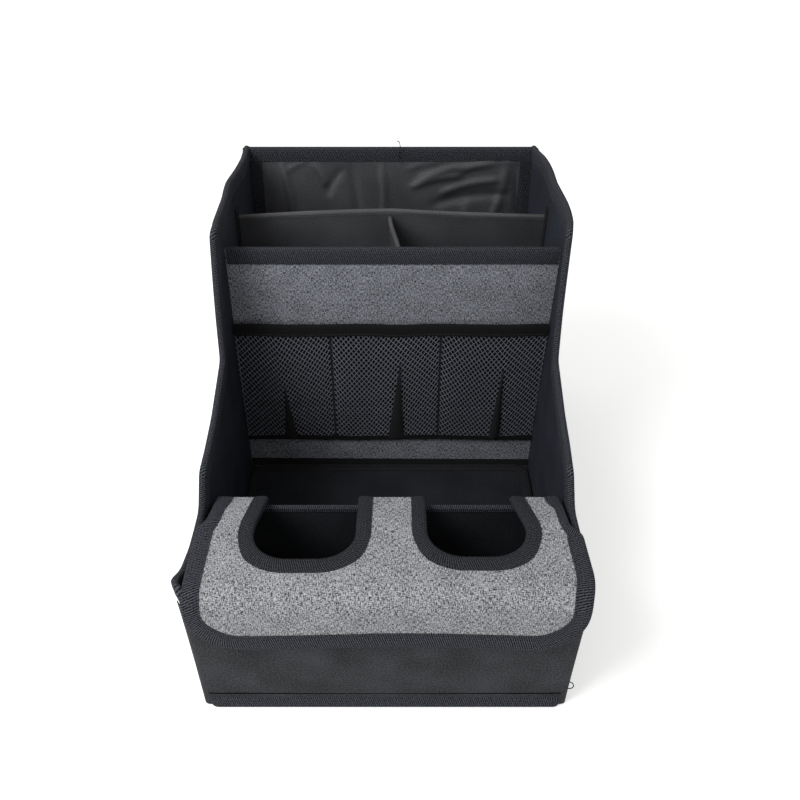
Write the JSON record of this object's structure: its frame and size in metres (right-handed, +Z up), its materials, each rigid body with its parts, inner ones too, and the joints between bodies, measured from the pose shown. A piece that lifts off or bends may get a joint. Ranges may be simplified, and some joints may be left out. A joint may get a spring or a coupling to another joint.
{
  "type": "back seat organizer",
  "caption": "Sewn car back seat organizer: tall divided rear, open middle well, mesh pocket, and a front box under a hinged lid with cup openings.",
  "frame": {"origin": "centre of the underside of the base cloth", "axes": "+Z up, the front with the cup lid faces -Y, +X to the right as seen from the front"},
  "size_m": [0.2738, 0.4134, 0.2609],
  "materials": {
    "oxford_cloth": "plain woven polyester",
    "lining_cloth": "thin coated lining",
    "stiffener_board": "matte board",
    "binding_tape": "ribbed woven tape",
    "heather_light": "melange linen look",
    "heather_dark": "melange linen look",
    "mesh_net": "knitted net"
  },
  "bodies": {
    "carcass": {"back_board": "stiffener_board", "back_lining": "lining_cloth", "back_outer_cloth": "oxford_cloth", "back_top_binding": "binding_tape", "base_binding": "binding_tape", "base_board": "stiffener_board", "base_lining": "lining_cloth", "base_outer_cloth": "oxford_cloth", "centre_divider": "lining_cloth", "centre_divider_hem": "binding_tape", "cross_divider": "lining_cloth", "cross_divider_hem": "binding_tape", "cup_wall": "lining_cloth", "cup_wall_hem": "binding_tape", "floor_board": "oxford_cloth", "floor_board_binding": "binding_tape", "front_board": "stiffener_board", "front_lining": "lining_cloth", "front_outer_cloth": "oxford_cloth", "front_top_binding": "binding_tape", "left_side_board": "stiffener_board", "left_side_edge_binding": "binding_tape", "left_side_lining": "lining_cloth", "left_side_outer_cloth": "oxford_cloth", "mesh_pocket": "mesh_net", "mesh_pocket_binding": "binding_tape", "pocket_panel_binding": "binding_tape", "pocket_panel_board": "stiffener_board", "pocket_panel_face": "heather_dark", "pocket_panel_lining": "lining_cloth", "right_side_board": "stiffener_board", "right_side_edge_binding": "binding_tape", "right_side_lining": "lining_cloth", "right_side_outer_cloth": "oxford_cloth"},
    "lid": {"lid_cover": "heather_light", "lid_board": "stiffener_board", "lid_lining": "lining_cloth", "lid_edge_binding": "binding_tape", "left_cup_binding": "binding_tape", "right_cup_binding": "binding_tape"}
  },
  "joints": [
    {"name": "lid_hinge", "type": "hinge", "parent": "carcass", "child": "lid", "pos_m": [0, -0.107, 0.10425], "axis": [-1, 0, 0], "range_deg": [0, 95]}
  ]
}
